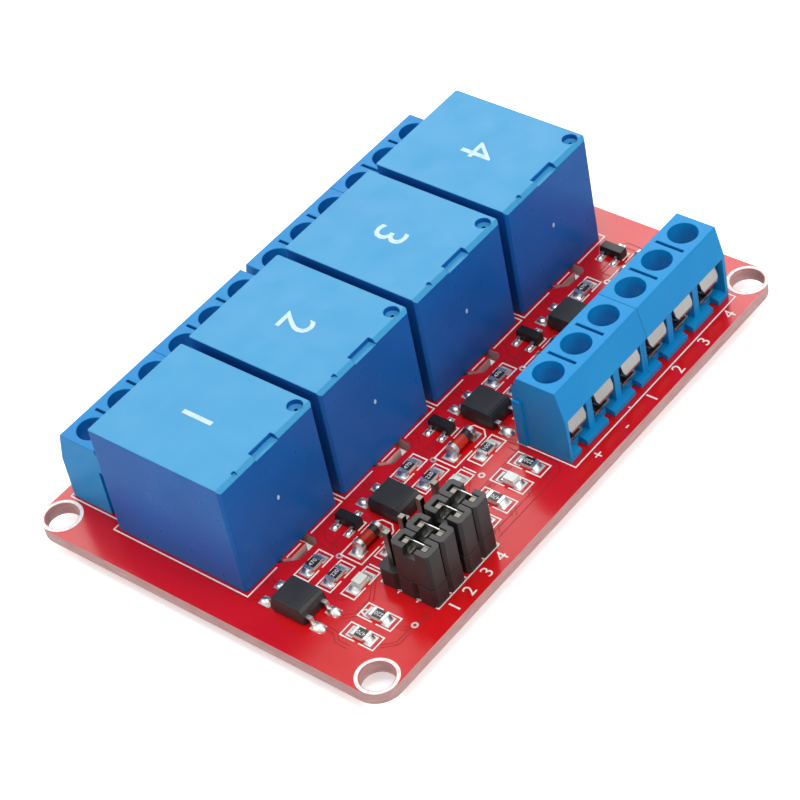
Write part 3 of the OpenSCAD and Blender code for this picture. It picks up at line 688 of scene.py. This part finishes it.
def make_under_tracks():
    under = Tracks("copper_tracks_under", UNDER - TRACK_LIFT, -LAYER_STEP)
    mains, coil, signal, supply = 2.6, 0.9, 0.8, 1.6        # widths
    for xc, yc in RELAYS:
        under.strip([(xc, yc + COMMON_PIN_Y), (xc, yc + 2.0), (xc, 19.4)], mains)
        for s in (-1, 1):
            x = xc + s * 5.2
            under.strip([(xc + s * SIDE_PIN_X, yc + CONTACT_PIN_Y), (x, 17), (x, 19.6)], mains)
        left, right = xc - 7.2, xc + 6.9
        y = yc + COIL_PIN_Y
        under.strip([(xc - SIDE_PIN_X, y), (left, -2.5), (left, -9), (xc - 5, -12)], coil)
        under.strip([(xc + SIDE_PIN_X, y), (right, -2.5), (right, -8)], coil)
    for i in range(INPUTS):
        x, y = middle("terminal_screw_%02d" % (FIRST_INPUT + i))
        end = (x - 6 - 2 * i, y + 5 + 0.4 * i)
        under.strip([(x, y), (x, y + 2.5), (x - 2.5, y + 5), end], signal)
    under.strip([(-24, -12.4), (26, -12.4)], supply)
    under.pc.build()


make_top_tracks()
make_under_tracks()


# ---------------------------------------------------------------- solder, pads and rings
def fillet(pc, x, y, z0, direction, width, reach, height, steps=6):
    """A solder fillet: a concave ramp from height at a part's end down to the board."""
    dx, dy = direction
    px, py = -dy, dx
    rows = []
    for i in range(steps + 1):
        t = i / steps
        h = height * (1 - math.sin(t * math.pi / 2)) ** 0.9
        half = width / 2 * (1 - 0.12 * t)
        d = reach * t
        rows.append([(x + dx * d + px * half, y + dy * d + py * half, z0),
                     (x + dx * d + px * half * 0.86, y + dy * d + py * half * 0.86, z0 + h),
                     (x + dx * d - px * half * 0.86, y + dy * d - py * half * 0.86, z0 + h),
                     (x + dx * d - px * half, y + dy * d - py * half, z0)])
    vs = [p for row in rows for p in row]
    fs = []
    for i in range(steps):
        for j in range(3):
            a = i * 4 + j
            fs.append((a, a + 4, a + 5, a + 1))
    pc.add(vs, fs)


def solder_chips(joints, pads):
    """The ends of the chips and lamps. Pad places are from the part's middle."""
    end, width, reach, height = 1.0, 1.35, 0.55, 0.42
    pad_from, pad_to, pad_half = 0.75, 1.7, 0.74
    for x, y, turned in chip_places() + LAMPS:
        for s in (-1, 1):
            if turned:
                fillet(joints, x, y + s * end, TOP, (0, s), width, reach, height)
                pads.rect(x - pad_half, x + pad_half, *sorted((y + s * pad_from, y + s * pad_to)), PAD_Z)
            else:
                fillet(joints, x + s * end, y, TOP, (s, 0), width, reach, height)
                pads.rect(*sorted((x + s * pad_from, x + s * pad_to)), y - pad_half, y + pad_half, PAD_Z)


def solder_optocoupler(joints, pads, xc):
    lead_x, lead_y, outward = PITCH / 2, 3.55, 0.12
    half_x, half_y = 0.62, 0.75
    mound = ((0.62, 0), (0.6, 0.12), (0.48, 0.3), (0.26, 0.42), (0, 0.46))     # (radius, height)
    for s in (-1, 1):
        for e in (-1, 1):
            x, y = xc + OPTO[0] + s * lead_x, OPTO[1] + e * lead_y
            pads.rect(x - half_x, x + half_x, y - half_y, y + half_y, PAD_Z)
            k = 1.25 if e < 0 else 0.95     # the joints at the front are the fuller ones
            joints.lathe(x, y + e * outward, [(r * k, TOP + h * k) for r, h in mound], 16, 0.82, 1.15)


def solder_transistor(joints, pads, xc):
    tx, ty = xc + TRANS[0], TRANS[1]
    lead_x, lead_y, outward = 1.25, 0.95, 0.1
    half_x, half_y = 0.6, 0.45
    mound = ((0.42, 0), (0.38, 0.12), (0.2, 0.24), (0, 0.27))       # (radius, height)
    for x, y in ((tx - lead_x, ty - lead_y), (tx - lead_x, ty + lead_y), (tx + lead_x, ty)):
        pads.rect(x - half_x, x + half_x, y - half_y, y + half_y, PAD_Z)
        aside = outward if x > tx else -outward
        joints.lathe(x + aside, y, [(r, TOP + h) for r, h in mound], 14, 1.2, 0.9)


def solder_diode(joints, pads, xc):
    x, y = xc + DIODE[0], DIODE[1]
    end, width, reach, height = 1.76, 1.5, 0.6, 0.75
    pad_from, pad_to, pad_half = 1.15, 2.6, 0.85
    for s in (-1, 1):
        pads.rect(*sorted((x + s * pad_from, x + s * pad_to)), y - pad_half, y + pad_half, PAD_Z)
        fillet(joints, x + s * end, y, TOP, (s, 0), width, reach, height)


def solder_tails(joints, pads):
    """Through-hole joints, with the cone of solder round each tail below the board."""
    thick, thin, header = 0.95, 0.9, 0.75       # how far out the solder reaches
    tails = []
    for xc, yc in RELAYS:
        tails.append((xc, yc + COMMON_PIN_Y, thick))
        tails += [(xc + s * SIDE_PIN_X, yc + COIL_PIN_Y, thin) for s in (-1, 1)]
        tails += [(xc + s * SIDE_PIN_X, yc + CONTACT_PIN_Y, thick) for s in (-1, 1)]
    for n in range(len(group("terminal_screw_"))):
        tails.append((*middle("terminal_screw_%02d" % (n + 1)), thin))
    for x in HEAD_X:
        for y in HEAD_Y:
            tails.append((x, y, header))
            pads.ring(x, y, 0.42, 0.8, PAD_Z, 20)
    for x, y, r in tails:
        joints.lathe(x, y, [(0.5, UNDER - 1.25), (0.54, UNDER - 0.9), (0.66, UNDER - 0.5),
                            (r, UNDER - 0.2), (r + 0.3, UNDER - 0.02)], 18)
        pads.ring(x, y, r + 0.2, r + 0.45, UNDER - PAD_LIFT, 20, flip=True)


def plate_vias(pads):
    """Plated vias: one near the front left corner and three in each channel."""
    in_channel = ((2.3, -14.6), (-3.2, -15.9), (1.6, -8.5))
    for x, y in [(-26.6, -21.6)] + [(xc + a, b) for xc in RELAY_X for a, b in in_channel]:
        pads.ring(x, y, 0.2, 0.42, TOP + VIA_LIFT, 16)


def make_solder():
    joints = Piece("solder_joints", "solder", slot="tinned", smooth=True)
    pads = Piece("solder_pads", "pad", slot="tinned")
    solder_chips(joints, pads)
    for xc in RELAY_X:
        solder_optocoupler(joints, pads, xc)
        solder_transistor(joints, pads, xc)
        solder_diode(joints, pads, xc)
    solder_tails(joints, pads)
    plate_vias(pads)
    joints.build()
    pads.build()


make_solder()


# ---------------------------------------------------------------- optocoupler bodies
def make_optocouplers():
    """Moulded bodies with drafted sides, and a groove along the bevelled edge."""
    pc = Piece("optocoupler_bodies", "resin", slot="black_resin")
    lo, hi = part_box("optocouplers")
    y0, y1, z0, z1 = lo.y / MM, hi.y / MM, lo.z / MM, hi.z / MM
    zm = (z0 + z1) / 2
    half = hi.x / MM - RELAY_X[-1] - OPTO[0]
    draft_up, draft_down = 0.13, 0.05
    # (y, z) round a body's side, from below at the front: the back, the top, the groove, the front
    prof = [(y0 + 0.05, z0), (y1 - 0.05, z0), (y1, zm), (y1 - 0.14, z1 - 0.02), (y1 - 0.18, z1),
            (y0 + 0.66, z1), (y0 + 0.62, z1 - 0.09), (y0 + 0.54, z1 - 0.09), (y0 + 0.49, z1 - 0.03),
            (y0 + 0.44, z1 - 0.03), (y0 + 0.13, z1 - 0.36), (y0, zm)]
    n = len(prof)
    for xc in RELAY_X:
        x = xc + OPTO[0]
        vs = []
        for s in (-1, 1):
            for y, z in prof:
                if z > zm:
                    d = draft_up * (z - zm) / (z1 - zm)
                else:
                    d = draft_down * (zm - z) / (zm - z0)
                vs.append((x + s * (half - d), y, z))
            vs.append((x + s * half, (y0 + y1) / 2, zm))
        fs = []
        for i in range(n):
            j = (i + 1) % n
            fs.append((i, n + 1 + i, n + 1 + j, j))
            fs.append((i, j, n))
            fs.append((n + 1 + j, n + 1 + i, 2 * n + 1))
        pc.add(vs, [tuple(reversed(f)) for f in fs])
    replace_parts(pc.build(), "optocouplers")


make_optocouplers()


# ---------------------------------------------------------------- small marks
def mark_relays():
    """A number on each relay, turned to be read from behind."""
    pc = Piece("relay_numbers", "relay_ink", slot="relay_blue")
    aside, height = 0.2, 4.2
    for i, (x, y) in enumerate(RELAYS):
        letters(pc, str(i + 1), x - aside, y + aside, height, RELAY_TOP + MARK_LIFT, turn=180)
    pc.build()


def mark_gates():
    """The spot that the moulding gate leaves on each cover's front face."""
    pc = Piece("gate_marks", "relay_ink", slot="relay_blue")
    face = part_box("relay_cover_1")[0].y / MM - MARK_LIFT
    aside, height, half_w, half_h, sides = -0.1, 11.0, 0.2, 0.34, 10
    turns = [2 * math.pi * i / sides for i in range(sides)]
    for x in RELAY_X:
        pc.add([(x + aside + half_w * math.cos(a), face, height + half_h * math.sin(a)) for a in turns],
               [tuple(range(sides))])
    pc.build()


def mark_resistors():
    """Plain figures, level with the glaze or just over it."""
    pc = Piece("resistor_marks", "ink", slot="board_red")
    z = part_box("chip_resistors")[1].z / MM - 0.02
    height, figures = 0.5, ("470", "220", "100")
    for k, (x, y, turned) in enumerate(chip_places()):
        letters(pc, figures[k % 3], x, y, height, z, turn=90 if turned else 0)
    pc.build()


def mark_diodes():
    """The dark cathode band on each diode's glass."""
    pc = Piece("diode_bands", "band", slot="diode_glass", smooth=True)
    lo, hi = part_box("diodes")
    zc, r = (lo.z + hi.z) / 2 / MM, (hi.z - lo.z) / 2 / MM + 0.01
    aside, half, n = 0.82, 0.38, 24
    for xc in RELAY_X:
        cx = xc + DIODE[0] + aside
        vs = []
        for x in (cx - half, cx + half):
            for i in range(n):
                a = 2 * math.pi * i / n
                vs.append((x, DIODE[1] + r * math.cos(a), zc + r * math.sin(a)))
        pc.add(vs, [(i, n + i, n + (i + 1) % n, (i + 1) % n) for i in range(n)])
    pc.build()


mark_relays()
mark_gates()
mark_resistors()
mark_diodes()


# ---------------------------------------------------------------- stage and light
def make_stage():
    """A pale floor that is white to the camera and keeps the object's shadow."""
    me = bpy.data.meshes.new("floor")
    half = 3.0
    me.from_pydata([(-half, -half, 0), (half, -half, 0), (half, half, 0), (-half, half, 0)], [],
                   [(0, 1, 2, 3)])
    ob = bpy.data.objects.new("floor", me)
    bpy.context.scene.collection.objects.link(ob)
    m = bpy.data.materials.new("floor_white")
    m.use_nodes = True
    t = m.node_tree
    t.nodes.remove(t.nodes["Principled BSDF"])
    paper = t.nodes.new("ShaderNodeBsdfDiffuse")
    paper.inputs["Color"].default_value = (0.86, 0.86, 0.86, 1)
    glow = t.nodes.new("ShaderNodeEmission")
    rays = t.nodes.new("ShaderNodeLightPath")
    strength = t.nodes.new("ShaderNodeMath")
    strength.operation = "MULTIPLY"
    strength.inputs[1].default_value = 0.56
    t.links.new(rays.outputs["Is Camera Ray"], strength.inputs[0])
    t.links.new(strength.outputs[0], glow.inputs["Strength"])
    both = t.nodes.new("ShaderNodeAddShader")
    t.links.new(paper.outputs[0], both.inputs[0])
    t.links.new(glow.outputs[0], both.inputs[1])
    t.links.new(both.outputs[0], t.nodes["Material Output"].inputs["Surface"])
    me.materials.append(m)


def area(name, at, aim, w, h, power):
    lamp = bpy.data.lights.new(name, "AREA")
    lamp.shape = "RECTANGLE"
    lamp.size, lamp.size_y = w, h
    lamp.energy = power
    ob = bpy.data.objects.new(name, lamp)
    ob.location = at
    ob.rotation_euler = (Vector(aim) - Vector(at)).to_track_quat("-Z", "Y").to_euler()
    bpy.context.scene.collection.objects.link(ob)


def make_world():
    """White to the camera and in metal and glass, and a dim even light on all else."""
    world = bpy.data.worlds.new("studio")
    bpy.context.scene.world = world
    world.use_nodes = True
    t = world.node_tree
    sky = t.nodes["Background"]
    sky.inputs["Color"].default_value = (1, 1, 1, 1)
    rays = t.nodes.new("ShaderNodeLightPath")
    seen = rays.outputs["Is Camera Ray"]
    for other in ("Is Glossy Ray", "Is Transmission Ray"):
        either = t.nodes.new("ShaderNodeMath")
        either.operation = "MAXIMUM"
        t.links.new(seen, either.inputs[0])
        t.links.new(rays.outputs[other], either.inputs[1])
        seen = either.outputs[0]
    level = t.nodes.new("ShaderNodeMapRange")
    level.inputs["To Min"].default_value = 0.2
    level.inputs["To Max"].default_value = 1.0
    t.links.new(seen, level.inputs["Value"])
    t.links.new(level.outputs["Result"], sky.inputs["Strength"])


def make_lights():
    """A broad low light behind the part, one above, and softer ones from the left and front."""
    area("light_back", (0.350, 0.376, 0.350), (0, 0, 0.005), 0.60, 0.28, 1.85)
    area("light_top", (-0.06, -0.04, 0.62), (0, 0, 0.008), 0.40, 0.40, 2.25)
    area("light_left", (-0.42, 0.30, 0.18), (0, 0, 0.008), 0.34, 0.20, 0.75)
    area("light_front", (0.02, -0.46, 0.30), (0, 0, 0.008), 0.30, 0.30, 1.1)


make_stage()
make_world()
make_lights()
bpy.context.scene.view_settings.view_transform = "Standard"
